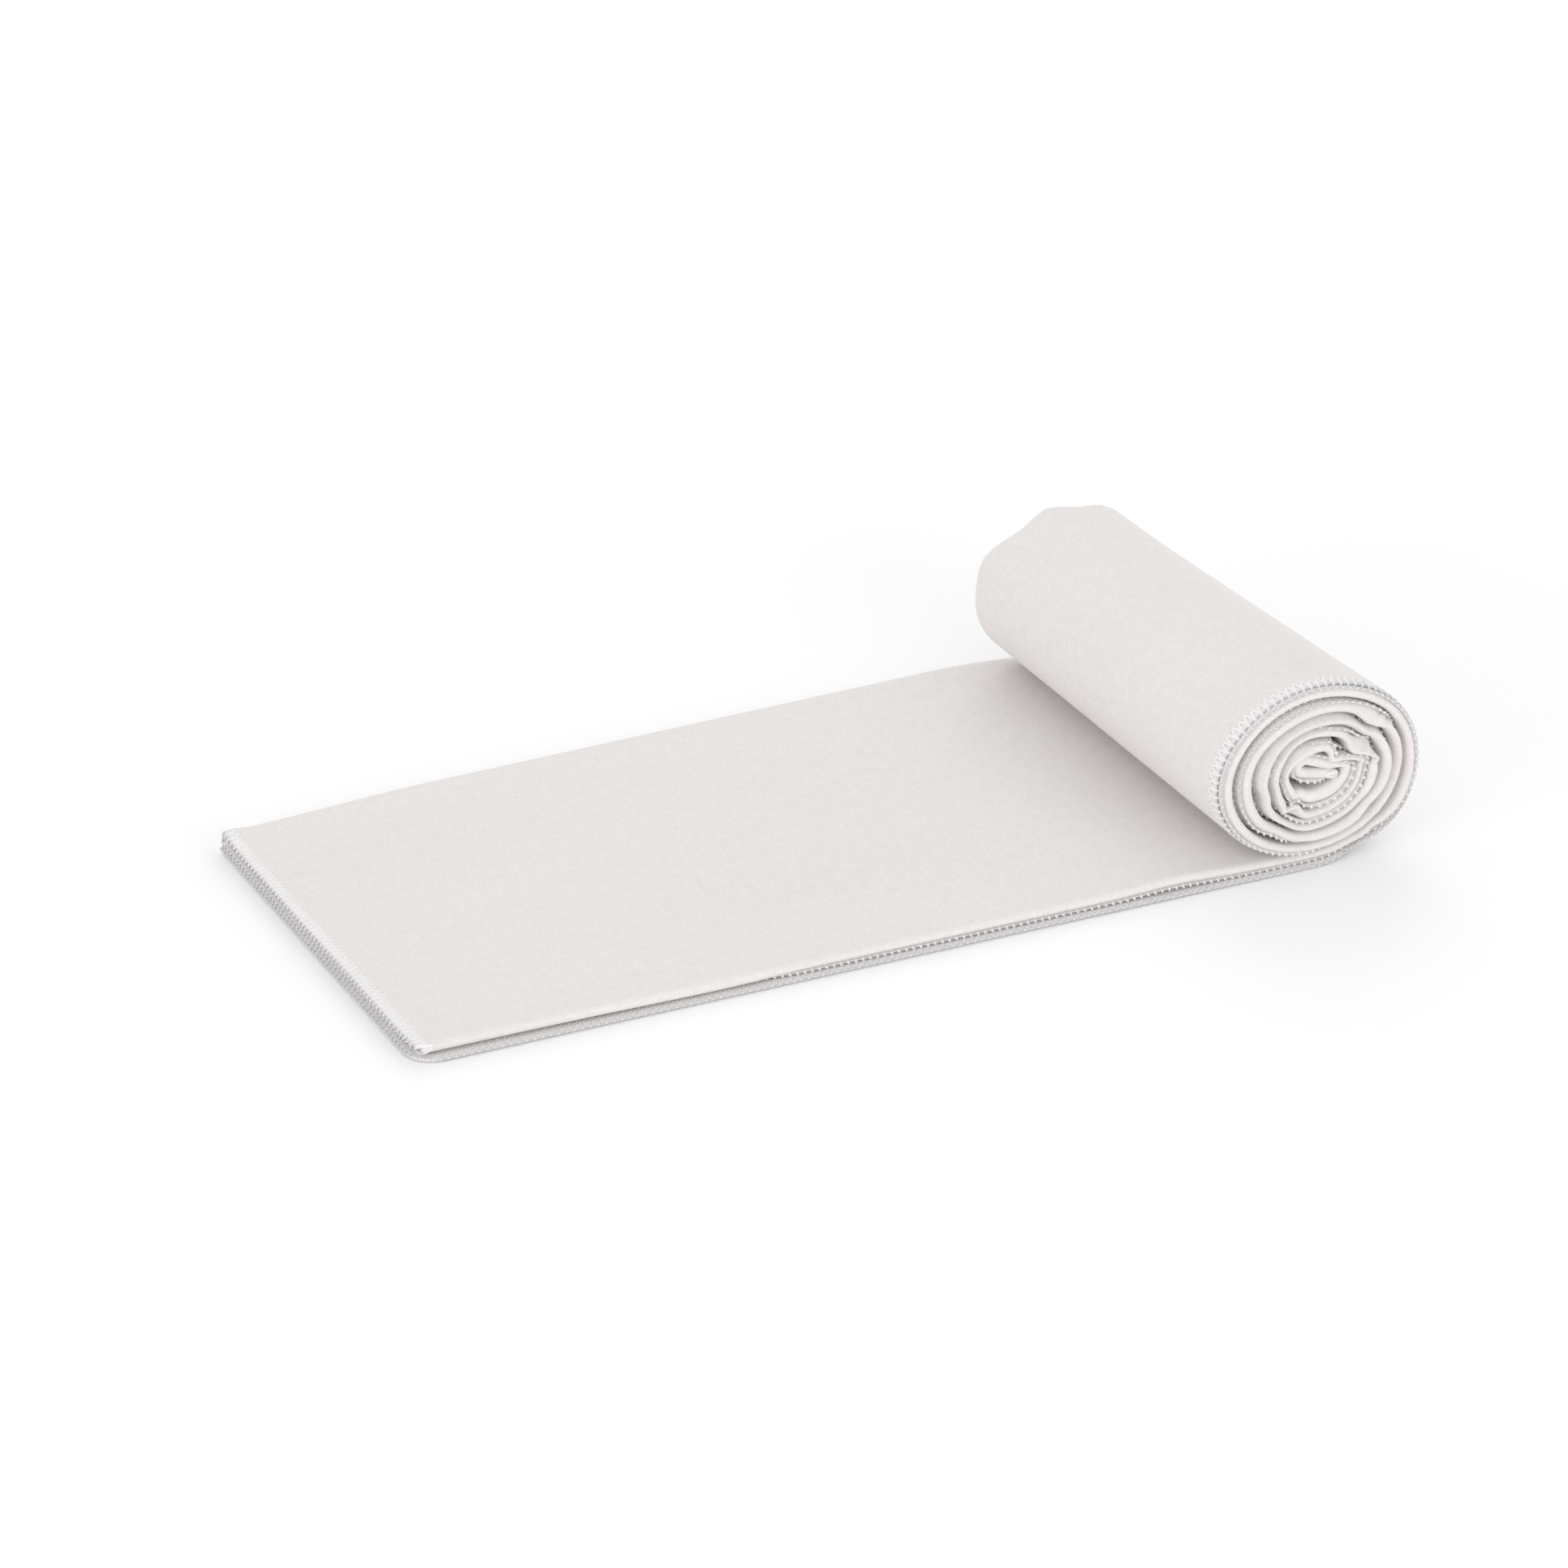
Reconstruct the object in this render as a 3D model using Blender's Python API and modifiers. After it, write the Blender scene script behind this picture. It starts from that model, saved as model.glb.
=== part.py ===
"""A quick-dry towel, folded in quarters along its length and part rolled up.

One rectangle of microfibre, overlocked on all four edges, is folded twice along
its length, so a strip four layers thick is left. The strip lies on a table and
its +X end is rolled up and over towards -X, so that the roll sits on the strip.

The cloth is one sheet. It is built here as a grid of stations: along the towel's
length (the run) and across its width (the section). Two short formulas place
them: the section folds the width into four layers, and the run lays those
layers flat or winds them on an oval spiral. Solidify then gives the thickness.
+X is along the strip towards the roll, +Y is the side of the double fold.
"""

import math

import bmesh
import bpy

# Driving dimensions, in metres
TOWEL_WIDTH = 0.600          # the short side of the flat towel, folded in four
CLOTH_THICKNESS = 0.0009
HEM_THICKNESS = 0.00105      # the edge with its overlock thread round it
HEM_WIDTH = 0.005
LAYER_PITCH = 0.001325       # from one layer of the stack to the next
NODE_GAP = 0.0003

FLAT_RUN = 0.288             # from the outer end to the middle of the roll
ROLL_WIDTH = 0.0707          # the roll's size along X at its -Y end
ROLL_HEIGHT = 0.0610         # and its height there
ROLL_TAPER = 0.10            # how much smaller the roll is at its +Y end
ROLL_TURNS = 4.65
LOWER_HEM_PROUD = 0.0035     # how far the bottom layer's hem passes the near fold
UPPER_HEM_PROUD = 0.0005
FLARE_AT_END = 0.985         # the strip's width at its outer end, and at the roll
FLARE_AT_ROLL = 1.035

# How finely the curved parts are divided
STEPS_PER_TURN = 20
STEPS_OUTER_FOLD = 4
STEPS_INNER_FOLD = 3

LAYERS = 4
TURN_PITCH = LAYERS * LAYER_PITCH
FULL_TURN = 2 * math.pi
FOLDED_WIDTH = TOWEL_WIDTH / LAYERS - 0.0025
INNER_FOLD_RADIUS = LAYER_PITCH / 2
OUTER_FOLD_RADIUS = LAYER_PITCH * 3 / 2
NEAR_CENTRE = INNER_FOLD_RADIUS - FOLDED_WIDTH / 2
FAR_CENTRE = FOLDED_WIDTH / 2 - OUTER_FOLD_RADIUS
LOWER_EDGE = -FOLDED_WIDTH / 2 - LOWER_HEM_PROUD
UPPER_EDGE = -FOLDED_WIDTH / 2 - UPPER_HEM_PROUD
ROLL_SEMI_X = (ROLL_WIDTH + TURN_PITCH - CLOTH_THICKNESS) / 2
ROLL_SEMI_Z = (ROLL_HEIGHT + TURN_PITCH / 2 - CLOTH_THICKNESS) / 2
HEM_LIFT = (HEM_THICKNESS - CLOTH_THICKNESS) / 2
CORE_HEM_ANGLE = 0.50        # the turn that the hem at the core covers
CORE_GAP_ANGLE = 0.035
CLOTH_COLOUR = (0.79, 0.76, 0.75, 1.0)
THREAD_COLOUR = (0.87, 0.87, 0.88, 1.0)


def clear_scene():
    """Remove every object, so that the file can be run again."""
    for item in list(bpy.data.objects):
        bpy.data.objects.remove(item, do_unlink=True)


def make_material(name, colour, roughness):
    """A plain Principled finish."""
    material = bpy.data.materials.new(name)
    material.use_nodes = True
    shader = material.node_tree.nodes["Principled BSDF"]
    shader.inputs["Base Color"].default_value = colour
    shader.inputs["Roughness"].default_value = roughness
    shader.inputs["Metallic"].default_value = 0.0
    return material


def fold_arc(centre, radius, low_layer, side, steps):
    """Points inside a half circle that joins two layers.

    The arc is centred at y = centre, starts on the layer low_layer (a height)
    and bulges towards side (+1 or -1). A negative radius runs it downwards.
    """
    angles = [math.pi * step / steps for step in range(1, steps)]
    middle = low_layer + radius
    return [
        (centre + side * abs(radius) * math.sin(angle), middle - radius * math.cos(angle))
        for angle in angles
    ]


def folded_section(lower_start, upper_end):
    """The towel's width folded in four, as (y, height over the bottom layer).

    It starts in the bottom layer, goes round the outer far fold to the top one,
    round the near fold to the second, and round the inner far fold to the third.
    """
    third, second, top = (LAYER_PITCH * layer for layer in (1, 2, 3))
    points = [(lower_start, 0.0), (FAR_CENTRE, 0.0)]
    points += fold_arc(FAR_CENTRE, OUTER_FOLD_RADIUS, 0.0, 1, STEPS_OUTER_FOLD)
    points += [(FAR_CENTRE, top), (NEAR_CENTRE, top)]
    points += fold_arc(NEAR_CENTRE, -INNER_FOLD_RADIUS, top, -1, STEPS_INNER_FOLD)
    points += [(NEAR_CENTRE, second), (FAR_CENTRE, second)]
    points += fold_arc(FAR_CENTRE, -INNER_FOLD_RADIUS, second, 1, STEPS_INNER_FOLD)
    points += [(FAR_CENTRE, third), (upper_end, third)]
    return points


def place(run, y, height):
    """Where a point of the towel lies.

    run is negative on the flat stretch, as metres before the middle of the roll,
    and positive in the roll, as the angle turned from its lowest point. There
    the layers follow an oval whose half axes shrink by TURN_PITCH each turn.
    """
    across = (y + FOLDED_WIDTH / 2) / FOLDED_WIDTH
    taper = 1 - ROLL_TAPER * min(max(across, 0.0), 1.0)
    share = 1 + min(run, 0.0) / FLAT_RUN
    flare = FLARE_AT_END + (FLARE_AT_ROLL - FLARE_AT_END) * share
    if run < 0:
        return run, y * flare, CLOTH_THICKNESS / 2 + taper * height
    inwards = TURN_PITCH * run / FULL_TURN + height
    x = taper * (ROLL_SEMI_X - inwards) * math.sin(run)
    z = taper * (ROLL_SEMI_Z - (ROLL_SEMI_Z - inwards) * math.cos(run))
    return x, y * flare, CLOTH_THICKNESS / 2 + z


def turned_stations(start, end):
    """Angles from start to end, with every station of a regular turn between."""
    step = FULL_TURN / STEPS_PER_TURN
    first = math.floor(start / step + 0.5) + 1
    last = math.ceil(end / step - 0.5)
    return [start] + [step * index for index in range(first, last)] + [end]


def sheet(name, runs, section, thickness, lift, material, collection, parent):
    """One stretch of the towel: a grid moved to its place, then thickened."""
    shape = bmesh.new()
    bmesh.ops.create_grid(
        shape, x_segments=len(runs) - 1, y_segments=len(section) - 1, size=0.5
    )
    for vertex in shape.verts:
        run = runs[round((vertex.co.x + 0.5) * (len(runs) - 1))]
        y, height = section[round((vertex.co.y + 0.5) * (len(section) - 1))]
        vertex.co = place(run, y, height + lift)
    mesh = bpy.data.meshes.new(name)
    shape.to_mesh(mesh)
    shape.free()
    mesh.materials.append(material)
    item = bpy.data.objects.new(name, mesh)
    collection.objects.link(item)
    item.parent = parent
    solidify = item.modifiers.new("thickness", "SOLIDIFY")
    solidify.thickness = thickness
    solidify.offset = 0.0
    return item


def centre_on_base(parent, items):
    """Move the parent so that the bottom centre of the whole box is the origin."""
    bpy.context.view_layer.update()
    depsgraph = bpy.context.evaluated_depsgraph_get()
    corners = []
    for item in items:
        evaluated = item.evaluated_get(depsgraph)
        corners += [vertex.co.copy() for vertex in evaluated.data.vertices]
    for axis in (0, 1):
        low = min(corner[axis] for corner in corners)
        high = max(corner[axis] for corner in corners)
        parent.location[axis] = -(low + high) / 2
    parent.location[2] = -min(corner[2] for corner in corners)


def build_towel():
    """Make the cloth and its hems, each stretch as its own object."""
    collection = bpy.data.collections.new("quick_dry_towel")
    bpy.context.scene.collection.children.link(collection)
    parent = bpy.data.objects.new("towel_frame", None)
    collection.objects.link(parent)
    cloth = make_material("microfibre", CLOTH_COLOUR, 0.95)
    thread = make_material("overlock_thread", THREAD_COLOUR, 0.8)

    roll_end = ROLL_TURNS * FULL_TURN
    core_start = roll_end - CORE_HEM_ANGLE
    flat_start = HEM_WIDTH + NODE_GAP - FLAT_RUN
    flat = [flat_start, -NODE_GAP]
    rolled = turned_stations(0.0, core_start - CORE_GAP_ANGLE)
    outer_end = [-FLAT_RUN, HEM_WIDTH - FLAT_RUN]
    core_end = turned_stations(core_start, roll_end)

    inside = HEM_WIDTH + NODE_GAP
    cloth_section = folded_section(LOWER_EDGE + inside, UPPER_EDGE + inside)
    whole_section = folded_section(LOWER_EDGE, UPPER_EDGE)
    lower_hem = [(LOWER_EDGE, 0.0), (LOWER_EDGE + HEM_WIDTH, 0.0)]
    upper_hem = [(UPPER_EDGE + HEM_WIDTH, LAYER_PITCH), (UPPER_EDGE, LAYER_PITCH)]

    cloth_finish = (CLOTH_THICKNESS, 0.0, cloth)
    hem_finish = (HEM_THICKNESS, HEM_LIFT, thread)
    stretches = [
        ("cloth_flat_run", flat, cloth_section, cloth_finish),
        ("cloth_rolled_run", rolled, cloth_section, cloth_finish),
        ("outer_end_hem", outer_end, whole_section, hem_finish),
        ("core_end_hem", core_end, whole_section, hem_finish),
        ("lower_side_hem_flat", flat, lower_hem, hem_finish),
        ("lower_side_hem_rolled", rolled, lower_hem, hem_finish),
        ("upper_side_hem_flat", flat, upper_hem, hem_finish),
        ("upper_side_hem_rolled", rolled, upper_hem, hem_finish),
    ]
    items = [
        sheet(name, runs, section, *finish, collection, parent)
        for name, runs, section, finish in stretches
    ]
    centre_on_base(parent, items)


clear_scene()
build_towel()
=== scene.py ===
# %% [markdown]
# # A quick-dry towel, folded in quarters and half rolled up
#
# The real thing is one rectangle of brushed microfibre. Its four edges are
# overlocked with three threads. It has been folded twice along its length, so
# that four layers lie on each other, and one end has been rolled up.
#
# A towel can be draped by simulation, but a tight roll of four layers would
# need far more collision steps than it is worth. This lesson does what a
# pattern cutter does instead: every point of the flat cloth has an address
# (how far along, how far across), and two formulas say where that address ends
# up once the cloth is folded and rolled. Cloth and thread then use the same map.

# %% The frame
import math

import bpy
import numpy as np
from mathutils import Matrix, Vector


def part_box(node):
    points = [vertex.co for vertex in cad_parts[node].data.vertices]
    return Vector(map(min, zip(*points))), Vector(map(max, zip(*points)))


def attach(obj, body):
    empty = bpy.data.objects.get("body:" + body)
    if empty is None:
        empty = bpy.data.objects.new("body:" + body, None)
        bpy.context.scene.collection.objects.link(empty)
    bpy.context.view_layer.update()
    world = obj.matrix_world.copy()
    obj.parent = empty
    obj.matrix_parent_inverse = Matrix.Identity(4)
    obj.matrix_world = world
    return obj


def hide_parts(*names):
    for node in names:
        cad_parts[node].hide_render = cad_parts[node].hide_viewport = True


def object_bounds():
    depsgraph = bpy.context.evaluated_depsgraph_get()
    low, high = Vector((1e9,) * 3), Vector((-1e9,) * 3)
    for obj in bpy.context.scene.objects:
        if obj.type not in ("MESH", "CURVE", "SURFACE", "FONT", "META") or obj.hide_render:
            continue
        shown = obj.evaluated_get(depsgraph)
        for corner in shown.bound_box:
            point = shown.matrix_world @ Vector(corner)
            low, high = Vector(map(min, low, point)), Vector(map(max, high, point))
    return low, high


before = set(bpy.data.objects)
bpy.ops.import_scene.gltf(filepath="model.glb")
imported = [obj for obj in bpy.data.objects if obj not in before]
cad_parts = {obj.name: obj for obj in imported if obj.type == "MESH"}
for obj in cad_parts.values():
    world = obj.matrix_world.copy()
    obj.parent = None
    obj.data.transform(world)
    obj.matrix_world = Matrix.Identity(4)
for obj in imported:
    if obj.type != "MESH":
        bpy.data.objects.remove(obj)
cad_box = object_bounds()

flat_low, flat_high = (np.array(corner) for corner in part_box("cloth_flat_run"))
print("CAD box:", [[round(x, 4) for x in corner] for corner in cad_box])

# %% [markdown]
# ## Sizes
#
# Cloth is easier to think about in millimetres, so the shape is worked out in
# millimetres from one mark on the frame: the point under the roll where the
# strip leaves the table, on the strip's centre line.

# %% The towel's sizes, in millimetres
MM = 0.001
# the mark, in metres, lies a little past the end of the frame's flat run
PAST_THE_FLAT = 0.3
MARK = np.array([flat_high[0] + PAST_THE_FLAT * MM, (flat_low[1] + flat_high[1]) / 2, 0.0])
# x and z of the middle of the roll's near end, from the mark
CENTRE = (1.0, 31.0)
FLAT_RUN = (MARK[0] - cad_box[0][0]) / MM + CENTRE[0]
# the strip's width at its loose end, as a share, what it gains towards the roll,
# and the room that is kept for its hems
NARROW, FLARE = 0.985, 0.05
HEM_ROOM = 0.9
FOLDED = (flat_high[1] - flat_low[1]) / MM / (NARROW + FLARE) - HEM_ROOM
# thickness of the cloth, width of the overlock, one stitch, and the corners' radius
CLOTH = 0.8
HEM = 3.9
STITCH = 2.35
CORNER = 9.0
# how far the far side is shifted along the strip, and how much the roll thins
# towards its far end, sideways and upwards
SKEW = -6.2
TAPER, TAPER_UP = 0.10, 0.12
print("flat run", round(FLAT_RUN, 1), "folded width", round(FOLDED, 1))

# %% [markdown]
# ## Two small helpers
#
# A smooth step and a smooth hump are enough to blend one stretch of cloth into
# the next and to put a bump or a dent where the real cloth has one.


# %% Steps and humps
def step(value, low, high):
    """0 below low, 1 above high, and an even S-curve between them."""
    share = np.clip((value - low) / (high - low), 0, 1)
    return share * share * (3 - 2 * share)


def hump(value, centre, width):
    """A bell curve of height 1 that has fallen to 1/e at centre +- width."""
    return np.exp(-(((value - centre) / width) ** 2))


# %% [markdown]
# ## Folding the width in four
#
# Across the towel a point belongs to one of seven stretches: the bottom layer,
# the outer fold at the far side, the top layer, the near fold, the second
# layer, the inner fold at the far side, and the third layer. The address
# "across" becomes a place across the strip and a level in the stack, where 0 is
# the bottom layer and 1 the top one. The folds are half ellipses.

# %% The folded section
NEAR_BULGE, FAR_BULGE, INNER_BULGE = 1.5, 2.8, 0.9
NEAR_TURN = NEAR_BULGE - FOLDED / 2
FAR_TURN = FOLDED / 2 - FAR_BULGE
LOWER_PROUD, UPPER_PROUD = 3.4, 1.2
LOWER_EDGE = -FOLDED / 2 - LOWER_PROUD
UPPER_EDGE = -FOLDED / 2 - UPPER_PROUD
FAR_FOLD, NEAR_FOLD, INNER_FOLD = 7.5, 4.6, 2.8
STRETCHES = np.array([
    FAR_TURN - LOWER_EDGE, FAR_FOLD,
    FAR_TURN - NEAR_TURN, NEAR_FOLD,
    FAR_TURN - NEAR_TURN, INNER_FOLD,
    FAR_TURN - UPPER_EDGE,
])
STARTS = np.concatenate([[0.0], np.cumsum(STRETCHES)])
WIDTH = STARTS[-1]
INSIDE_LEVELS = (0.0, 0.33, 0.67, 1.0)
NEAR_LEVELS = (0.0, 0.29, 0.54, 1.0)
# how far in from the near edge the layers are still pressed together
PRESSED = 16.0


def at_near_edge(y, width):
    """1 at the near folded edge, 0 from width millimetres inside it."""
    return 1 - step(y, NEAR_TURN, NEAR_TURN + width)


def folded(across):
    """Place across the strip (y) and level in the stack of an address.

    Straight stretches move at one millimetre a millimetre. A fold is half an
    ellipse: y bulges with the sine of the angle, and the level moves from one
    layer to the next with half of one minus its cosine. Near the edge the
    lower layers are pressed together and the fold takes half the height.
    """
    part = np.clip(np.searchsorted(STARTS, across, side="right") - 1, 0, 6)
    done = np.clip((across - STARTS[part]) / STRETCHES[part], -0.05, 1.05)
    bulge = np.sin(np.pi * np.clip(done, 0, 1))
    rise = (1 - np.cos(np.pi * np.clip(done, 0, 1))) / 2
    length = done * STRETCHES[part]
    y = np.choose(part, [
        LOWER_EDGE + length,
        FAR_TURN + FAR_BULGE * bulge,
        FAR_TURN - length,
        NEAR_TURN - NEAR_BULGE * bulge,
        NEAR_TURN + length,
        FAR_TURN + INNER_BULGE * bulge,
        FAR_TURN - length,
    ])
    near = at_near_edge(y, PRESSED)
    bottom, third, second, top = (
        inside + (edge - inside) * near for inside, edge in zip(INSIDE_LEVELS, NEAR_LEVELS)
    )
    level = np.choose(part, [
        bottom,
        bottom + (top - bottom) * rise,
        top,
        top + (second - top) * rise,
        second,
        second + (third - second) * rise,
        third,
    ])
    return y, level


print("flat width of the cloth:", round(WIDTH, 1), "mm")

# %% [markdown]
# ## The roll
#
# A loosely wound roll is never a true spiral. What can be seen on its end is
# how far each turn reaches to the right, up, to the left and down. So the roll
# is a map with two numbers: the turn (0 where the strip leaves the table, 0.25
# at the right, 0.5 on top) and the depth, which is the turn plus the place in
# the stack. Quarter ellipses join the four reaches. Because the depth counts on
# from turn to turn, one turn's inside is always the next turn's outside.

# %% How far each turn reaches
RIGHT = (36.2, 32.3, 28.5, 23.5, 18.9, 14.8, 9.8)
TOP = (61.0, 56.1, 51.0, 47.0, 43.2, 38.2, 34.0)
LEFT = (-33.0, -26.7, -20.3, -15.8, -11.2, -7.6, -3.2)
BOTTOM = (0.3, 4.9, 7.8, 11.6, 15.0, 19.4, 26.4)
TURNS = np.arange(7)


def reach(values, depth, first):
    """A reach at any depth: its value falls evenly from one turn to the next."""
    return np.interp(depth, TURNS + first, values)


# Dents of the inner layers: turn, its width before and after, push in mm (minus
# is outwards), how deep in the roll it starts, how fast it dies out inwards, and
# its length in mm along the roll. Layers outside the start keep their place, so
# a pocket opens there.
DENTS = (
    (0.366, 0.018, 0.044, 3.0, 1.80, 0.50, 34.0),
    (0.330, 0.032, 0.055, 4.9, 3.74, 0.50, 26.0),
    (0.272, 0.014, 0.014, -2.2, 3.74, 0.50, 22.0),
    (0.400, 0.045, 0.036, 4.0, 4.42, 0.05, 40.0),
    (0.890, 0.016, 0.040, 3.0, 4.26, 0.90, 22.0),
    (0.864, 0.012, 0.012, -1.8, 4.26, 0.90, 20.0),
    (0.785, 0.022, 0.022, 1.8, 2.76, 0.90, 20.0),
    (0.900, 0.030, 0.030, 1.6, 1.86, 0.90, 18.0),
    (0.130, 0.022, 0.030, 2.0, 2.12, 0.90, 20.0),
    (0.105, 0.012, 0.016, 1.6, 0.50, 1.60, 24.0),
    (0.070, 0.010, 0.010, 1.0, 0.50, 1.60, 20.0),
)


def dented(turn, depth, inward):
    """How far the dents push a point towards the middle of the roll.

    Each dent is a bell across the turn, a step in depth that then fades, and a
    fade along the roll's axis, where inward is the distance from its near end.
    """
    push = np.zeros_like(depth)
    phase = np.mod(turn, 1.0)
    for middle, before, after, amount, start, fade, length in DENTS:
        off = np.mod(phase - middle + 0.5, 1.0) - 0.5
        across = hump(off, 0.0, np.where(off < 0, before, after))
        inside = step(depth, start, start + 0.12) * np.exp(-fade * np.clip(depth - start, 0, 9))
        push += amount * across * inside * np.exp(-((inward / length) ** 2))
    return push


def rolled(turn, depth, inward):
    """x and z of a point in the roll, before its taper.

    Sine and cosine of the turn choose the reaches: x goes from the centre to
    the right or left reach, z from the centre to the top or bottom one. The
    lower right is a little squarer, where the strip is pulled off the table.
    """
    angle = 2 * np.pi * turn
    sine, cosine = np.sin(angle), np.cos(angle)
    right = reach(RIGHT, depth, 0.25) - CENTRE[0]
    left = CENTRE[0] - reach(LEFT, depth, 0.75)
    top = reach(TOP, depth, 0.5) - CENTRE[1]
    bottom = CENTRE[1] - reach(BOTTOM, depth, 0.0)
    wide = np.where(sine > 0, right, left)
    tall = np.where(cosine > 0, bottom, top)
    square = 1 + 0.05 * hump(turn, 0.13, 0.07)
    shrink = square - dented(turn, depth, inward) / np.hypot(wide * sine, tall * cosine)
    return CENTRE[0] + wide * sine * shrink, CENTRE[1] - tall * cosine * shrink


# %% [markdown]
# ## The core
#
# The end that was rolled first is doubled back on itself in the middle. No
# spiral explains that, so the last stretch is a route: a few listed points, a
# smooth curve through them, and the four layers beside that curve.

# %% The core's route
# the turn where the spiral ends, and the thickness of the four layers beyond it
CORE_START = 5.34
CORE_STACK = 4.2
SPAN_SAMPLES = 24
CORE_ROUTE = np.array([
    (4.2, 34.6), (0.8, 36.0), (-2.6, 37.0), (-5.4, 35.4), (-5.2, 32.4), (-2.0, 30.8),
    (2.8, 29.8), (8.4, 28.4),
])


def through(points, samples=SPAN_SAMPLES):
    """A smooth curve through the points: a cubic on each span whose slope at a
    point is half the way from the point before it to the one after."""
    ends = np.concatenate([[2 * points[0] - points[1]], points, [2 * points[-1] - points[-2]]])
    slope = (ends[2:] - ends[:-2]) / 2
    t = np.linspace(0, 1, samples, endpoint=False)[None, :, None]
    a, b, u, v = points[:-1, None], points[1:, None], slope[:-1, None], slope[1:, None]
    curve = (
        a * (2 * t**3 - 3 * t**2 + 1) + b * (3 * t**2 - 2 * t**3)
        + u * (t**3 - 2 * t**2 + t) + v * (t**3 - t**2)
    )
    return np.concatenate([curve.reshape(-1, 2), points[-1:]])


def middle_of_stack(turn):
    """x and z of the middle of the stack at the roll's near end."""
    return np.stack(rolled(turn, turn + 0.5, np.zeros_like(turn)), axis=-1)


def along(points):
    """The distance run along a line of points."""
    return np.concatenate([[0.0], np.cumsum(np.linalg.norm(np.diff(points, axis=0), axis=1))])


spiral_turns = np.linspace(0, CORE_START + 0.05, 2000)
spiral_run = along(middle_of_stack(spiral_turns))
CORE_FROM = FLAT_RUN + np.interp(CORE_START, spiral_turns, spiral_run)
entry = middle_of_stack(np.array([CORE_START - 0.02, CORE_START]))
core = through(np.concatenate([entry, CORE_ROUTE]))[SPAN_SAMPLES:]
core_slope = np.gradient(core, axis=0)
core_slope /= np.linalg.norm(core_slope, axis=1)[:, None]
core_run = along(core)
LENGTH = CORE_FROM + core_run[-1]
print("spiral", round(CORE_FROM - FLAT_RUN), "core", round(core_run[-1]), "mm")
print("whole towel", round(LENGTH), "mm long")

# %% [markdown]
# ## The flat strip
#
# On the table the stack is thick at its two folded sides and thinner between
# them. The loose end opens a little, the third layer's hem lifts in one place,
# and the top is never quite flat. Each is one hump or a slow wave.


# %% The strip's height
STACK = 3.9


def strip(x, y, level):
    """Height of a point of the flat run.

    The stack's thickness is a base value plus a bell at each side. Levels share
    it out, in two pairs near the loose end. Slow waves are added in proportion
    to the level, so the bottom layer stays on the table. The seam term lifts
    the cloth where the lowest overlock lies under it.
    """
    near = hump(y, -FOLDED / 2, 9.0)
    far = hump(y, FOLDED / 2, 9.0)
    end = 1 - step(x + FLAT_RUN, 10, 100)
    stack = STACK + 0.5 * near + (1.5 + 0.7 * (1 - end)) * far + 0.6 * end
    waves = 0.22 * np.sin(x / 23.0 + y / 31.0) * np.sin(y / 19.0 - x / 57.0 + 0.6)
    waves += 0.25 * hump(x, -150.0, 60.0) * np.sin(y / 24.0)
    sides = step(FOLDED / 2 - np.abs(y), 4.0, 20.0)
    third_and_above = hump(level, 0.27, 0.12) + step(level, 0.4, 0.55)
    lifted = 0.8 * hump(x, -46.0, 13.0) * near * third_and_above
    inside = np.interp(level, INSIDE_LEVELS, (0.0, 0.18, 0.82, 1.0))
    at_edge = np.interp(level, NEAR_LEVELS, (0.0, 0.18, 0.80, 1.0))
    paired = inside + (at_edge - inside) * at_near_edge(y, PRESSED)
    pairs = level + end * (paired - level)
    seam = np.maximum(1 - step(y - LOWER_EDGE, 4, 9), 1 - step(x + FLAT_RUN, 4, 9))
    return CLOTH / 2 + 0.45 * seam + pairs * (stack + waves * sides) + lifted


# %% [markdown]
# ## The whole map
#
# An address is now followed all the way: rounded corners first, then the fold
# across, then the flat run, the spiral or the core. The normal of the folded
# cloth comes from the map itself, by looking a hair's breadth to either side.

# %% From an address on the flat cloth to its place
def round_corners(run, across):
    """Pull the corners of the rectangle in to quarter circles.

    Inside the square at a corner, a point keeps its direction from the inner
    corner of the square, and its distance becomes the larger of its two parts.
    """
    mid_run, mid_across = LENGTH / 2, WIDTH / 2
    a = np.abs(run - mid_run) - (mid_run - CORNER)
    b = np.abs(across - mid_across) - (mid_across - CORNER)
    inside = (a > 0) & (b > 0)
    shrink = np.where(inside, np.maximum(a, b) / np.hypot(a, b + 1e-9), 1.0)
    new_run = mid_run + np.sign(run - mid_run) * (mid_run - CORNER + a * shrink)
    new_across = mid_across + np.sign(across - mid_across) * (mid_across - CORNER + b * shrink)
    return np.where(inside, new_run, run), np.where(inside, new_across, across)


def plateau(value, start, end, ramp=0.04):
    """1 between start and end, 0 outside, with soft flanks."""
    return step(value, start - ramp, start + ramp) - step(value, end - ramp, end + ramp)


# the stretches of the spiral, in turns, where the hems are out of sight
CLOSED_TURNS = ((1.02, 1.34), (1.95, 3.34), (3.50, 3.65), (3.73, 3.86), (4.54, 4.74))
# where along the strip, in mm, the third layer's hem comes into sight
HEM_SHOWS = (95, 120)


def closed(turn):
    """1 where the hems are squeezed back out of sight between two turns."""
    return sum(plateau(turn, start, end) for start, end in CLOSED_TURNS)


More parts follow.
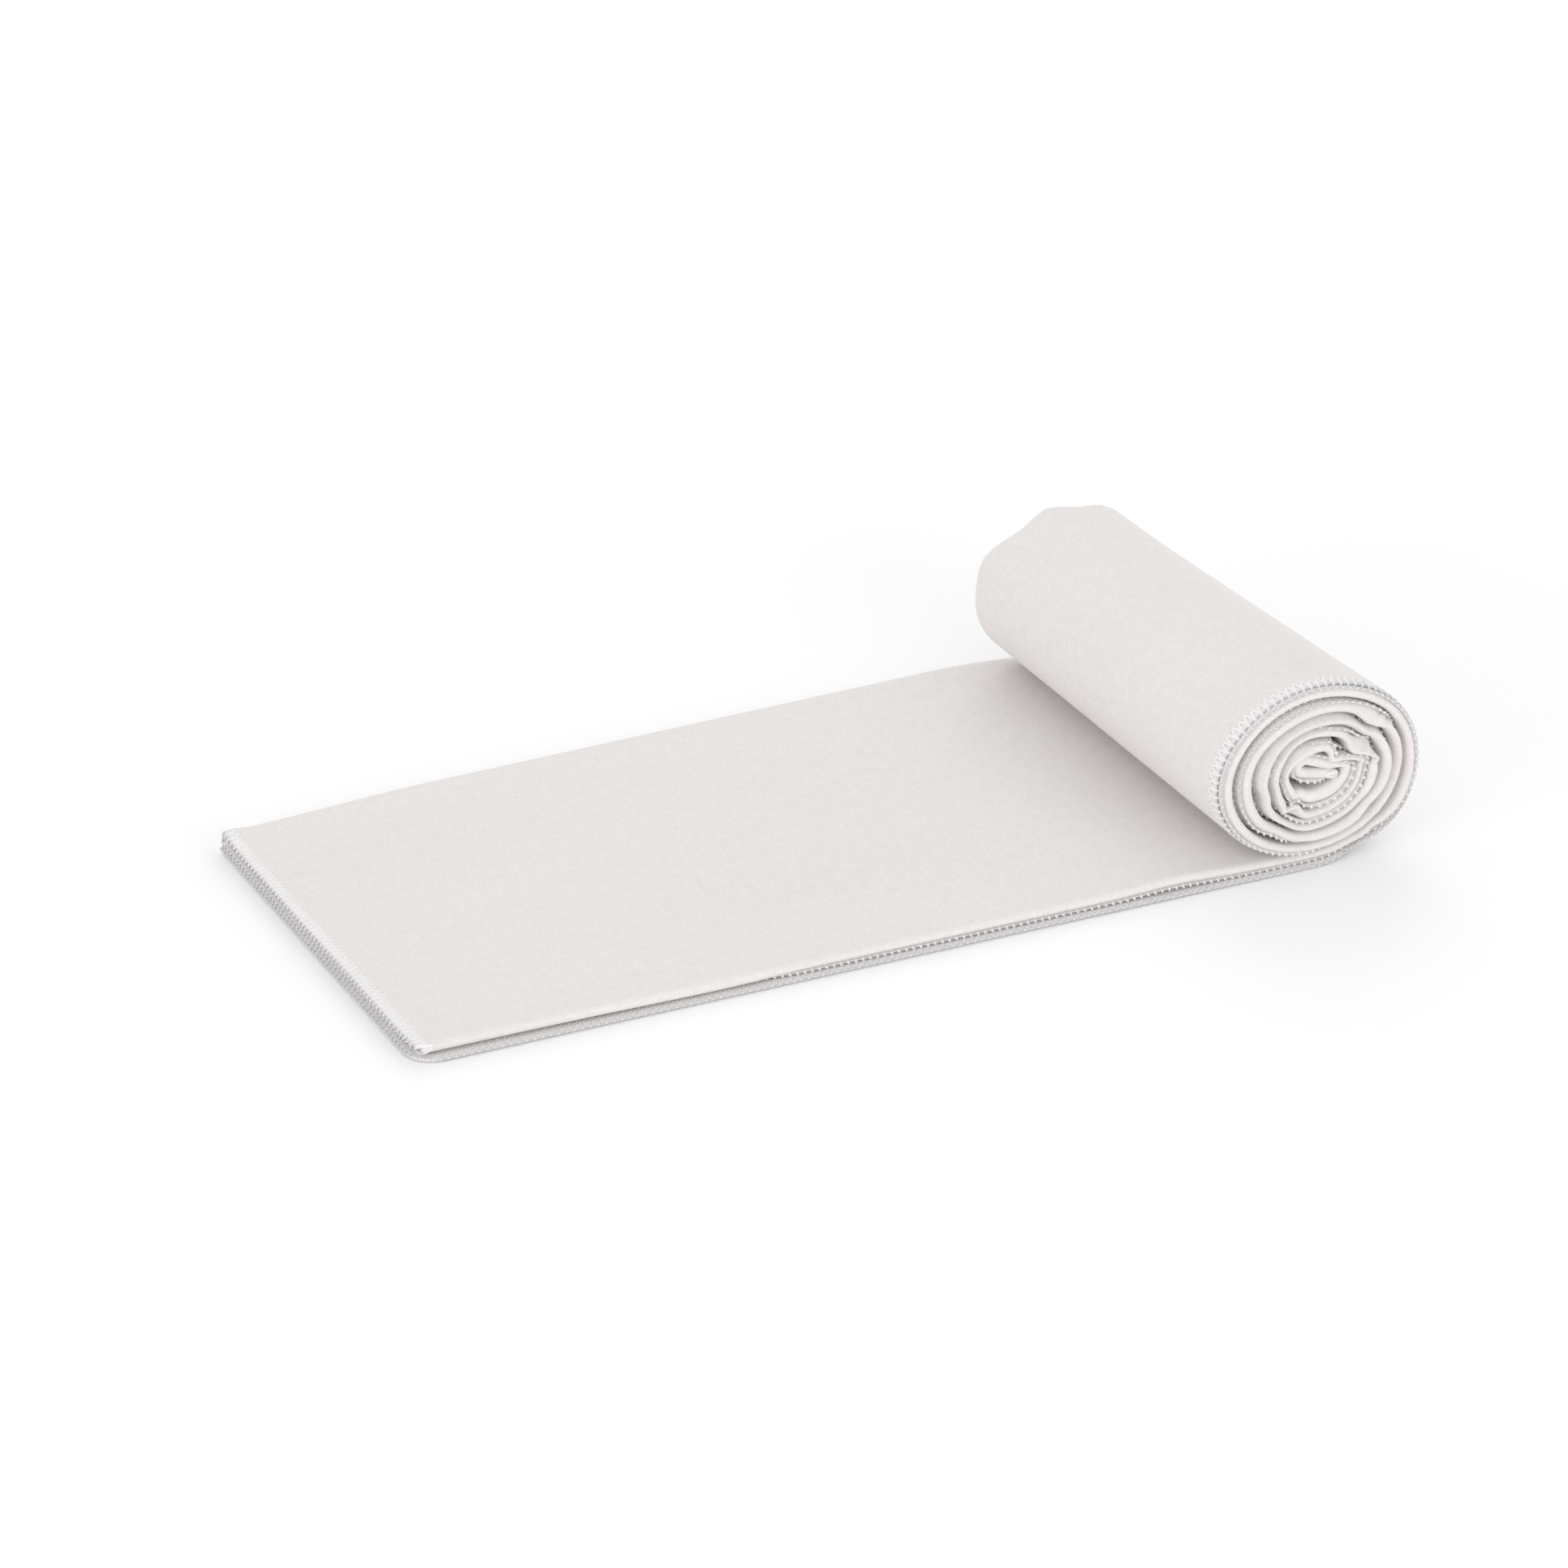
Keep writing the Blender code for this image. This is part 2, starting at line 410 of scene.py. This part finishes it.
def sideways(run, turn, level, y):
    """How far the edges wander along the roll's axis (+ is into the roll).

    The hems are drawn in where a turn is squeezed between its neighbours. In
    the roll the lowest hem lies further back than the third layer's, and the
    near folds stand out and wander. On the strip the third layer's hem hides at
    first, the near fold stands out, and the far side bows out.
    """
    near = at_near_edge(y, 25)
    hems = 1 - step(level, 0.3, 0.4)
    lowest = 1 - step(level, 0.05, 0.2)
    rolling = step(turn, 0, 0.2)
    drawn = 5.0 * closed(turn) + 2.0 * hump(turn, 0.07, 0.03) - 1.6 * step(turn, 0.1, 0.3)
    drawn += lowest * (2.0 * step(turn, 0.9, 1.3) + 3.8 * step(turn, 0.0, 0.3))
    wander = 0.5 * np.sin(2 * np.pi * turn * 1.7 + 1.0) + 0.3 * np.sin(2 * np.pi * turn * 4.3)
    telescope = -2.4 * step(turn, 0.0, 0.2) - 0.7 * hump(turn, 2.6, 0.7)
    rolled_in = near * (hems * drawn + (1 - hems) * telescope + wander * rolling)
    hidden = hems * (1 - lowest) * 3.2 * (1 - step(run, *HEM_SHOWS))
    proud = 1.8 * (1 - rolling) * (1 - hems)
    straight = step(run, 5, 75) * (1 - step(turn, 0, 0.1))
    far = 3.2 * (1 - near) * step(y, FAR_TURN - 40, FAR_TURN) * straight
    return rolled_in + near * (hidden - proud) + far


def depth_in_turn(level):
    """The four layers take the middle four fifths of a turn's depth."""
    return 0.1 + 0.8 * level


def place(run, across):
    """Where an address of the flat towel lies, in millimetres from the mark.

    over is 0 at the near side and 1 at the far one. The flat run and the roll
    are both worked out, and each address keeps the one it belongs to.
    """
    run, across = np.broadcast_arrays(run, across)
    y, level = folded(across)
    over = np.clip(y / FOLDED + 0.5, -0.1, 1.1)
    taper, taper_up = (1 - share * np.clip(over, 0, 1) for share in (TAPER, TAPER_UP))
    turn = np.interp(run - FLAT_RUN, spiral_run, spiral_turns)
    rolling = run > FLAT_RUN

    # the near fold is plump in the roll, and fills the turn where the hems
    # hide. The third layer's hem lies close to the lowest one
    edge = at_near_edge(y, 6)
    filled = 0.30 * step(turn, 0.0, 0.2) + 0.65 * closed(turn) + 0.55 * (1 - step(run, *HEM_SHOWS))
    level = np.where(level > 0.4, 1 - (1 - level) * (1 + filled * edge), level)
    squeezed = 0.06 * step(turn, 0.0, 0.2) + 0.04 * step(turn, 0.95, 1.3)
    level = level - squeezed * edge * hump(level, 0.29, 0.1)

    # in the spiral, the turn and the level give the depth
    x_roll, z_roll = rolled(turn, turn + depth_in_turn(level), y + FOLDED / 2)

    # in the core, the levels are laid beside the route
    core_at = np.clip(run - CORE_FROM, 0, core_run[-1])
    beyond = run - CORE_FROM - core_at
    at_x, at_z = (np.interp(core_at, core_run, core[:, k]) for k in (0, 1))
    ahead_x, ahead_z = (np.interp(core_at, core_run, core_slope[:, k]) for k in (0, 1))
    aside = (0.5 - level) * CORE_STACK
    into_core = step(run, CORE_FROM - 4, CORE_FROM + 4)
    x_roll += (at_x + ahead_x * beyond + ahead_z * aside - x_roll) * into_core
    z_roll += (at_z + ahead_z * beyond - ahead_x * aside - z_roll) * into_core

    # the far end is rolled tighter, and its last stretch has a raised ridge
    far = hump(y, FOLDED / 2, 24.0) * rolling
    bump = hump(turn, 0.535, np.where(turn < 0.535, 0.05, 0.028))
    ridge = far * (3.2 * bump + 2.2 * hump(turn, 0.425, 0.04))
    cheek = 1 + far * (0.075 * hump(turn, 0.655, 0.045) + 0.03 * hump(turn, 0.70, 0.14))
    x_roll, z_roll = taper * x_roll * cheek, taper_up * z_roll * (0.5 + 0.5 * cheek) + ridge

    # the flat run, whose last stretch meets the start of the spiral
    x_flat = run - FLAT_RUN + CENTRE[0] * taper
    z_start = taper_up * reach(BOTTOM, depth_in_turn(level), 0.0)
    z_flat = strip(x_flat, y, level)
    z_flat = z_flat + (z_start - z_flat) * step(x_flat, -40, 0)

    # the strip widens towards the roll. At its loose end the inner layers and
    # the upper pair end a little short, and the end lies askew
    flare = NARROW + FLARE * np.clip(run / FLAT_RUN, 0, 1)
    inner = plateau(level, 0.15, 0.85, 0.1) * (2.4 - 1.4 * np.clip(over, 0, 1))
    askew = 5.0 * over - 3.5
    upper_pair = 0.8 * step(level, 0.5, 0.8)
    x_flat = x_flat + (inner + askew + upper_pair) * (1 - step(run, 0, 90))
    x = np.where(rolling, x_roll, x_flat) + SKEW * over
    z = np.where(rolling, z_roll, z_flat)
    return np.stack([x, y * flare + sideways(run, turn, level, y), z], axis=-1)


def normal(run, across, reach_mm=0.15):
    """The cloth's upward normal, from differences of the map."""
    by_run = place(run + reach_mm, across) - place(run - reach_mm, across)
    by_across = place(run, across + reach_mm) - place(run, across - reach_mm)
    cross = np.cross(by_run, by_across)
    return cross / np.maximum(np.linalg.norm(cross, axis=-1, keepdims=True), 1e-12)


# %% [markdown]
# ## The cloth
#
# The sheet is a grid of addresses, closer together where the cloth bends: at
# the folds, near the visible ends, and all through the roll. Two copies of the
# grid, half the cloth's thickness to either side, and a strip round the rim
# make one closed skin. The cloth thins towards its edge, where the thread
# squeezes it.

# %% Stations of the grid
def spread(start, end, count, ease=0.0):
    """count steps from start to end. ease > 0 packs them towards both ends."""
    share = np.linspace(0, 1, count, endpoint=False)
    eased = (1 - np.cos(np.pi * share)) / 2
    return start + (end - start) * (share + (eased - share) * ease)


run_stations = np.concatenate([
    spread(0, 12, 8),
    spread(12, FLAT_RUN - 20, 36),
    spread(FLAT_RUN - 20, FLAT_RUN, 6),
    FLAT_RUN + np.interp(spread(0, CORE_START, 260), spiral_turns, spiral_run),
    spread(CORE_FROM, LENGTH - 8, 30),
    spread(LENGTH - 8, LENGTH, 5),
    [LENGTH],
])
across_stations = np.concatenate([
    spread(0, 10, 7),
    spread(10, STARTS[1], 17, 0.5),
    spread(STARTS[1], STARTS[2], 9),
    spread(STARTS[2], STARTS[3], 20, 0.9),
    spread(STARTS[3], STARTS[4], 9),
    spread(STARTS[4], STARTS[5], 20, 0.9),
    spread(STARTS[5], STARTS[6], 6),
    spread(STARTS[6], WIDTH - 10, 17, 0.5),
    spread(WIDTH - 10, WIDTH, 6),
    [WIDTH],
])
print(len(run_stations), "x", len(across_stations), "stations")


# %% A mesh from whole arrays
def mesh_object(name, points, faces, uv=None):
    """A smooth-shaded mesh object from points in millimetres and its faces.

    uv gives one pair for each corner of each face, in the faces' own order.
    """
    mesh = bpy.data.meshes.new(name)
    mesh.from_pydata((points * MM + MARK).tolist(), [], faces)
    if uv is not None:
        layer = mesh.uv_layers.new(name="cloth")
        layer.data.foreach_set("uv", np.ascontiguousarray(uv, dtype=np.float32).ravel())
    mesh.shade_smooth()
    item = bpy.data.objects.new(name, mesh)
    bpy.context.scene.collection.objects.link(item)
    return item


def grid_faces(rows, columns, offset=0):
    """Quads between neighbouring rows and columns of a grid of points."""
    first = np.arange(rows - 1)[:, None] * columns + np.arange(columns - 1)[None, :] + offset
    return np.stack([first, first + columns, first + columns + 1, first + 1], axis=-1).reshape(-1, 4)


def half_thickness(from_edge):
    """Half the cloth's thickness, which falls to 72 percent near its edge."""
    return CLOTH / 2 * (0.72 + 0.28 * step(from_edge, 0.5, HEM + 1))


def build_cloth():
    """The closed skin: top grid, bottom grid turned over, and a rim of quads."""
    run, across = np.meshgrid(run_stations, across_stations, indexing="ij")
    run, across = round_corners(run, across)
    middle = place(run, across)
    up = normal(run, across)
    from_edge = np.minimum(np.minimum(run, LENGTH - run), np.minimum(across, WIDTH - across))
    offset = up * half_thickness(from_edge)[..., None]
    rows, columns = run.shape
    below = rows * columns
    points = np.concatenate([(middle + offset).reshape(-1, 3), (middle - offset).reshape(-1, 3)])
    top = grid_faces(rows, columns)
    bottom = grid_faces(rows, columns, below)[:, ::-1]
    index = np.arange(below).reshape(rows, columns)
    loop = np.concatenate([index[:-1, 0], index[-1, :-1], index[:0:-1, -1], index[0, :0:-1]])
    after = np.roll(loop, -1)
    rim = np.stack([after, loop, loop + below, after + below], axis=-1)
    faces = np.concatenate([top, bottom, rim])
    flat = np.stack([run, across], axis=-1).reshape(-1, 2) * MM
    flat = np.concatenate([flat, flat])
    return mesh_object("towel_cloth", points, faces.tolist(), flat[faces])


towel = build_cloth()
towel.data.calc_loop_triangles()
print("cloth:", len(towel.data.loop_triangles), "triangles")

# %% [markdown]
# ## The overlock
#
# A three-thread overlock wraps the raw edge. The needle thread runs along the
# cloth about 4 mm in. The upper looper thread zigzags over the top face from
# the needle line to the edge. The lower looper does the same underneath and goes
# on round the rim, where it meets the upper one. Each thread is one long tube
# that follows a wave in the edge's own measures: how far along the edge, and how
# far in from it.

# %% Following the edge
SIDES = {
    "lower_side": ((CORNER, 0.0), (LENGTH - CORNER, 0.0)),
    "core_end": ((LENGTH, CORNER), (LENGTH, WIDTH - CORNER)),
    "upper_side": ((LENGTH - CORNER, WIDTH), (CORNER, WIDTH)),
    "outer_end": ((0.0, WIDTH - CORNER), (0.0, CORNER)),
}
QUARTER = CORNER * math.pi / 2


def edge_address(side, along_edge, inset):
    """Address of a point beside one side of the cloth, with its outward way.

    Along the straight part the inset is a plain offset. The two end sides go on
    round the corners by a quarter circle, where the inset shortens the radius.
    """
    (run_a, across_a), (run_b, across_b) = SIDES[side]
    ahead = np.array([np.sign(run_b - run_a), np.sign(across_b - across_a)])
    out = np.array([ahead[1], -ahead[0]])
    straight = abs(run_b - run_a) + abs(across_b - across_a)
    corners = side.endswith("end")
    before = QUARTER if corners else 0.0
    s = along_edge - before
    angle = np.clip(-s, 0, None) / CORNER * corners
    angle_after = np.clip(s - straight, 0, None) / CORNER * corners
    turned = angle_after - angle
    keep = np.clip(s, 0, straight) if corners else s
    way = out * np.cos(turned)[:, None] + ahead * np.sin(turned)[:, None]
    centre = np.array([run_a, across_a]) + ahead * keep[:, None] - out * CORNER
    return centre + way * (CORNER - inset)[:, None], way


def edge_length(side):
    """How long a side is, with the corners that belong to it."""
    (run_a, across_a), (run_b, across_b) = SIDES[side]
    return abs(run_b - run_a) + abs(across_b - across_a) + 2 * QUARTER * side.endswith("end")


# %% Laying a thread
THREAD_WIDE, THREAD_THICK = 1.3, 0.26
# how far its middle sinks into the nap, as a share of its thickness, and how
# far a thread that goes round the rim stands off it
SUNK = 0.05
SLACK = 0.4


def thread_path(side, along_edge, inset, face):
    """Points of a thread, and the way out of the cloth at each.

    A positive inset lies on one face of the cloth. A negative one has passed
    the rim and goes round it as a slack arc that stands a little off the cut
    edge. face is 1 for the upper and -1 for the lower face.
    """
    address, way = edge_address(side, along_edge, np.clip(inset, 0, None))
    run, across = address[:, 0], address[:, 1]
    base = place(run, across)
    up = normal(run, across) * face
    hair = 0.2
    out = place(run + way[:, 0] * hair, across + way[:, 1] * hair) - base
    out /= np.linalg.norm(out, axis=1)[:, None]
    height = half_thickness(inset) - THREAD_THICK * SUNK
    past = np.clip(-inset, 0, None)
    angle = (past / height)[:, None]
    lift = up * np.cos(angle) + out * np.sin(angle)
    height = height + SLACK * step(past, 0, 0.5)
    return base + lift * height[:, None], lift


def tube(name, path, lift, wide, thick, sides=6):
    """A flat tube along a path, closed at both ends by a flat face.

    Each ring is an ellipse: wide along the cloth, thick away from it. Rings
    are joined by quads. uv counts metres along and turns around.
    """
    ahead = np.gradient(path, axis=0)
    ahead /= np.linalg.norm(ahead, axis=1)[:, None]
    beside = np.cross(ahead, lift)
    beside /= np.linalg.norm(beside, axis=1)[:, None]
    away = np.cross(beside, ahead)
    angle = np.linspace(0, 2 * np.pi, sides, endpoint=False)[None, :, None]
    wide = np.broadcast_to(wide, len(path))[:, None, None]
    ring = beside[:, None] * np.cos(angle) * wide / 2 + away[:, None] * np.sin(angle) * thick / 2
    points = (path[:, None] + ring).reshape(-1, 3)
    rows = len(path)
    row, column = np.meshgrid(np.arange(rows - 1), np.arange(sides), indexing="ij")
    after = (column + 1) % sides
    faces = np.stack([row * sides + column, row * sides + after,
                      (row + 1) * sides + after, (row + 1) * sides + column], axis=-1).reshape(-1, 4)
    far = along(path) * MM
    near_u, far_u = far[row], far[row + 1]
    near_v, far_v = column / sides, (column + 1) / sides
    uv = np.stack([near_u, near_v, near_u, far_v, far_u, far_v, far_u, near_v], axis=-1)
    first = np.arange(sides)
    caps = [first[::-1].tolist(), (first + (rows - 1) * sides).tolist()]
    uv = np.concatenate([uv.reshape(-1, 2), np.zeros((2 * sides, 2))])
    return mesh_object(name, points, faces.tolist() + caps, uv)


# %% Three threads on each of the four sides
LOOPER_SAMPLES, NEEDLE_SAMPLES = 12, 6
NEEDLE_WIDE, NEEDLE_THICK, NEEDLE_DIP = 0.42, 0.36, 0.30
END_GAP = 0.3


def overlock(side):
    """The three threads of one side of the cloth.

    With t counted in stitches, a looper's inset swings with the cosine of t,
    from the needle line to the rim. The upper looper only reaches the rim. The
    lower one goes on round it and meets it there, so the rim shows a row of
    teeth with dark slots between them, shaded by the gaps and by a painted
    shade on the cloth's cut edge. The needle thread is straight and dips
    at every stitch.
    """
    length = edge_length(side)
    stitches = int(length / STITCH)
    pitch = length / stitches
    t = np.arange(stitches * LOOPER_SAMPLES + 1) / LOOPER_SAMPLES
    s = np.clip(t * pitch, END_GAP, length - END_GAP)
    made = []
    for name, face, past in (("upper_looper", 1, 0.12), ("lower_looper", -1, 1.0)):
        inset = (HEM - past) / 2 + (HEM + past) / 2 * np.cos(2 * np.pi * t)
        lean = 0.12 * np.sin(2 * np.pi * t) * pitch
        path, lift = thread_path(side, s + lean, inset, face)
        wide = THREAD_WIDE * (1 - 0.42 * (1 - step(inset, -0.4, 1.0)))
        made.append(tube(side + "_" + name, path, lift, wide, THREAD_THICK))
    t = np.arange(stitches * NEEDLE_SAMPLES + 1) / NEEDLE_SAMPLES
    s = np.clip(t * pitch, END_GAP, length - END_GAP)
    path, lift = thread_path(side, s, np.full(len(t), HEM + 0.1), 1)
    path = path - lift * (NEEDLE_DIP * (0.5 + 0.5 * np.cos(2 * np.pi * t)))[:, None]
    made.append(tube(side + "_needle_thread", path, lift, NEEDLE_WIDE, NEEDLE_THICK, 5))
    return made


threads = {side: overlock(side) for side in SIDES}
for side, made in threads.items():
    faces = sum(len(item.data.polygons) for item in made)
    print(side, round(edge_length(side)), "mm of edge,", faces, "faces in", len(made), "threads")

# %% [markdown]
# ## Materials as arithmetic
#
# A material is a small sum of fields over the surface. A wrapper lets that sum
# be written as ordinary Python arithmetic: each plus, minus, times or sine
# becomes one Math node.


# %% A wrapper for node arithmetic
class Field:
    """A value that varies over the surface: an output socket in a node tree."""

    def __init__(self, tree, socket):
        self.tree, self.socket = tree, socket

    def make(self, kind, settings=None, inputs=None, output=0):
        """Add any node: its settings are set first, then its inputs."""
        node = self.tree.nodes.new(kind)
        for name, value in (settings or {}).items():
            setattr(node, name, value)
        for key, value in (inputs or {}).items():
            self.feed(node.inputs[key], value)
        return Field(self.tree, node.outputs[output])

    def feed(self, slot, value):
        """Link a field to a socket, or set the socket's own value."""
        if isinstance(value, Field):
            self.tree.links.new(value.socket, slot)
        else:
            slot.default_value = value

    def other_output(self, index):
        """A second output of the same node."""
        return Field(self.tree, self.socket.node.outputs[index])

    def math(self, operation, *values):
        """One Math node over these values."""
        return self.make("ShaderNodeMath", {"operation": operation}, dict(enumerate(values)))

    def __add__(self, other):
        return self.math("ADD", self, other)

    def __radd__(self, other):
        return self.math("ADD", other, self)

    def __sub__(self, other):
        return self.math("SUBTRACT", self, other)

    def __rsub__(self, other):
        return self.math("SUBTRACT", other, self)

    def __mul__(self, other):
        return self.math("MULTIPLY", self, other)

    def __rmul__(self, other):
        return self.math("MULTIPLY", other, self)

    def sine(self):
        return self.math("SINE", self)

    def least(self, other):
        return self.math("MINIMUM", self, other)

    def ramp(self, low, high):
        """0 below low, 1 above high, smooth between them."""
        inputs = {"Value": self, "From Min": low, "From Max": high}
        return self.make("ShaderNodeMapRange", {"interpolation_type": "SMOOTHSTEP"}, inputs)

    def blend(self, first, second):
        """A colour between two colours, with this field as the share."""
        settings = {"data_type": "RGBA", "clamp_factor": True}
        return self.make("ShaderNodeMix", settings, {0: self, 6: first, 7: second}, output=2)


def new_material(name):
    """A material, the start of its arithmetic and its Principled BSDF."""
    material = bpy.data.materials.new(name)
    material.use_nodes = True
    shader = material.node_tree.nodes["Principled BSDF"]
    return material, Field(material.node_tree, None), shader


def grain(start, uv, stretch, scale, detail=2.0):
    """Noise over the cloth's own uv, stretched along one of its directions."""
    settings = {"vector_type": "VECTOR"}
    mapped = start.make("ShaderNodeMapping", settings, {"Vector": uv, "Scale": stretch})
    inputs = {"Vector": mapped, "Scale": scale, "Detail": detail}
    return start.make("ShaderNodeTexNoise", {"noise_dimensions": "2D"}, inputs)


# %% [markdown]
# ## Brushed microfibre
#
# Suede-like microfibre has a nap of very fine hairs. Close to, one sees a soft
# grain a few tenths of a millimetre wide, clouds where the nap was stroked one
# way or the other, and a faint bloom at grazing angles. Grain and clouds move
# the colour by a few hundredths only. The bloom is the shader's sheen.

# %% The cloth's finish
CLOTH_LIGHT, CLOTH_DARK = (0.800, 0.769, 0.757, 1.0), (0.738, 0.707, 0.695, 1.0)
CLOTH_HEM = (0.80, 0.778, 0.77, 1.0)
# painted shade: the colour of the last half millimetre at the cut edge, darkened to stand for the
# shade in the slots between the thread's teeth
CUT_EDGE_PAINTED_SHADE = (0.62, 0.605, 0.61, 1.0)


def microfibre():
    """Colour: clouds and grain blend two close tones. Under the overlock loose
    filaments make the cloth paler, and the last half millimetre at the cut edge
    is darkened with a painted shade, for the shade in the slots between the
    thread's teeth. Roughness: 0.8 plus a little grain. Normal: the same grain as
    a bump of about 0.2 mm."""
    material, start, shader = new_material("brushed_microfibre")
    uv = start.make("ShaderNodeUVMap", {"uv_map": "cloth"})
    fine = grain(start, uv, (1.0, 0.55, 1.0), 1500.0, 3.0)
    hairs = grain(start, uv, (0.35, 1.0, 1.0), 2600.0, 1.0)
    clouds = grain(start, uv, (1.0, 0.8, 1.0), 330.0, 3.0)
    strokes = grain(start, uv, (0.4, 1.0, 1.0), 26.0, 2.0)
    tone = clouds * 0.30 + strokes * 0.10 + fine * 0.60
    brushed = tone.ramp(0.30, 0.70).blend(CLOTH_DARK, CLOTH_LIGHT)
    run = start.make("ShaderNodeSeparateXYZ", None, {0: uv})
    across = run.other_output(1)
    to_edge = run.least(LENGTH * MM - run).least(across).least(WIDTH * MM - across)
    hemmed = to_edge.ramp((HEM - 0.4) * MM, HEM * MM).blend(CLOTH_HEM, brushed)
    # the cut edge's painted shade, blended in over the last half millimetre
    colour = to_edge.ramp(0.0001, 0.0006).blend(CUT_EDGE_PAINTED_SHADE, hemmed)
    start.feed(shader.inputs["Base Color"], colour)
    start.feed(shader.inputs["Roughness"], 0.80 + 0.12 * fine)
    height = fine * 0.6 + hairs * 0.4
    inputs = {"Strength": 0.55, "Distance": 0.00022, "Height": height}
    start.feed(shader.inputs["Normal"], start.make("ShaderNodeBump", None, inputs))
    shader.inputs["Specular IOR Level"].default_value = 0.2
    shader.inputs["Sheen Weight"].default_value = 0.25
    shader.inputs["Sheen Roughness"].default_value = 0.45
    return material


# %% [markdown]
# ## Bulked thread
#
# The looper threads are crimped polyester filament. It is matt, a little
# whiter than the cloth, and its filaments lie in a slow twist.

# %% The thread's finish
THREAD_LIGHT, THREAD_DARK = (0.87, 0.858, 0.856, 1.0), (0.79, 0.773, 0.768, 1.0)
# one twist of the filaments, in metres along the thread
TWIST = 1 / 1100


def bulked_thread():
    """A sine over (length / TWIST + turns round the thread) makes the twist,
    with noise for loose filaments. It sets the colour and the bump."""
    material, start, shader = new_material("bulked_thread")
    uv = start.make("ShaderNodeUVMap", {"uv_map": "cloth"})
    along_thread = start.make("ShaderNodeSeparateXYZ", None, {0: uv})
    around = along_thread.other_output(1)
    loose = grain(start, uv, (1.0, 0.0006, 1.0), 2200.0, 2.0)
    turned = along_thread * (1 / TWIST) + around
    twist = (turned * (2 * math.pi) + loose * 3.0).sine() * 0.5 + 0.5
    tone = twist * 0.45 + loose * 0.55
    start.feed(shader.inputs["Base Color"], tone.ramp(0.2, 0.7).blend(THREAD_DARK, THREAD_LIGHT))
    start.feed(shader.inputs["Roughness"], 0.72 + 0.2 * loose)
    inputs = {"Strength": 0.5, "Distance": 0.00018, "Height": tone}
    start.feed(shader.inputs["Normal"], start.make("ShaderNodeBump", None, inputs))
    shader.inputs["Specular IOR Level"].default_value = 0.25
    shader.inputs["Sheen Weight"].default_value = 0.2
    return material


towel.data.materials.append(microfibre())
thread_finish = bulked_thread()
for made in threads.values():
    for item in made:
        item.data.materials.append(thread_finish)
print("materials:", [material.name for material in bpy.data.materials])

# %% [markdown]
# ## Into the frame
#
# Every piece belongs to the one body of the frame, and the plain solids it
# stands in for are hidden. The towel is a folded sheet cut to 60 by 90
# centimetres, lying on the floor, and its threads go with it.

# %% What rides, what replaces what
REPLACED = {
    "outer_end": ("outer_end_hem",),
    "core_end": ("core_end_hem",),
    "lower_side": ("lower_side_hem_flat", "lower_side_hem_rolled"),
    "upper_side": ("upper_side_hem_flat", "upper_side_hem_rolled"),
}
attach(towel, "root")
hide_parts("cloth_flat_run", "cloth_rolled_run")
for side, made in threads.items():
    for item in made:
        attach(item, "root")
        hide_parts(*REPLACED[side])

# %% [markdown]
# ## Floor, light and camera
#
# A pale floor in a white room shows soft cloth best, because light comes from
# all sides. A large lamp above and behind the towel gives the shapes their soft
# shade, and two lower ones, at the left and in front, fill the hems. A long
# lens, well back, keeps the roll's end and the strip in proportion.

# %% The studio
HALF_FLOOR = 12
floor_mesh = bpy.data.meshes.new("studio_floor")
corners = [(x * HALF_FLOOR, y * HALF_FLOOR, 0) for x, y in ((-1, -1), (1, -1), (1, 1), (-1, 1))]
floor_mesh.from_pydata(corners, [], [(0, 1, 2, 3)])
floor = bpy.data.objects.new("studio_floor", floor_mesh)
bpy.context.scene.collection.objects.link(floor)
floor_finish, _, floor_shader = new_material("studio_white")
floor_shader.inputs["Base Color"].default_value = (0.98, 0.98, 0.98, 1.0)
floor_shader.inputs["Roughness"].default_value = 0.9
floor_shader.inputs["Specular IOR Level"].default_value = 0.0
floor_mesh.materials.append(floor_finish)

world = bpy.data.worlds.new("white_room")
world.use_nodes = True
background = world.node_tree.nodes["Background"]
background.inputs["Color"].default_value = (1.0, 1.0, 1.0, 1.0)
background.inputs["Strength"].default_value = 0.875
bpy.context.scene.world = world


def lamp(name, stands, aim, watts, size=1.1):
    """A square area lamp at a place in metres, turned to face its aim."""
    data = bpy.data.lights.new(name, "AREA")
    data.size, data.energy = size, watts
    item = bpy.data.objects.new(name, data)
    item.location = stands
    item.rotation_euler = (Vector(aim) - Vector(stands)).to_track_quat("-Z", "Y").to_euler()
    bpy.context.scene.collection.objects.link(item)


lamp("big_softbox", stands=(0.6, 1.3, 1.0), aim=(0, 0, 0), watts=4.4)
lamp("left_fill", stands=(-1.8, -0.7, 0.36), aim=(0, 0, 0.02), watts=8.4)
lamp("front_fill", stands=(0.4, -1.6, 0.40), aim=(0, 0, 0.02), watts=6.4)
print("lamps:", [light.name for light in bpy.data.lights])

# %% The camera
AZIMUTH, ELEVATION, DISTANCE = math.radians(-25.41), math.radians(27.43), 2.3708
# the point it looks at, in metres from the mark
AIM_X, AIM_Y = -0.1198, 0.0388
camera_data = bpy.data.cameras.new("camera")
camera_data.lens = 177.0
camera_data.sensor_width = 36.0
camera = bpy.data.objects.new("camera", camera_data)
aim = Vector((float(MARK[0]) + AIM_X, float(MARK[1]) + AIM_Y, 0.0))
back = Vector((
    math.sin(AZIMUTH) * math.cos(ELEVATION),
    -math.cos(AZIMUTH) * math.cos(ELEVATION),
    math.sin(ELEVATION),
))
camera.location = aim + back * DISTANCE
camera.rotation_euler = (-back).to_track_quat("-Z", "Y").to_euler()
bpy.context.scene.collection.objects.link(camera)
bpy.context.scene.camera = camera
bpy.context.scene.view_settings.view_transform = "Standard"
print("camera at", [round(x, 3) for x in camera.location])
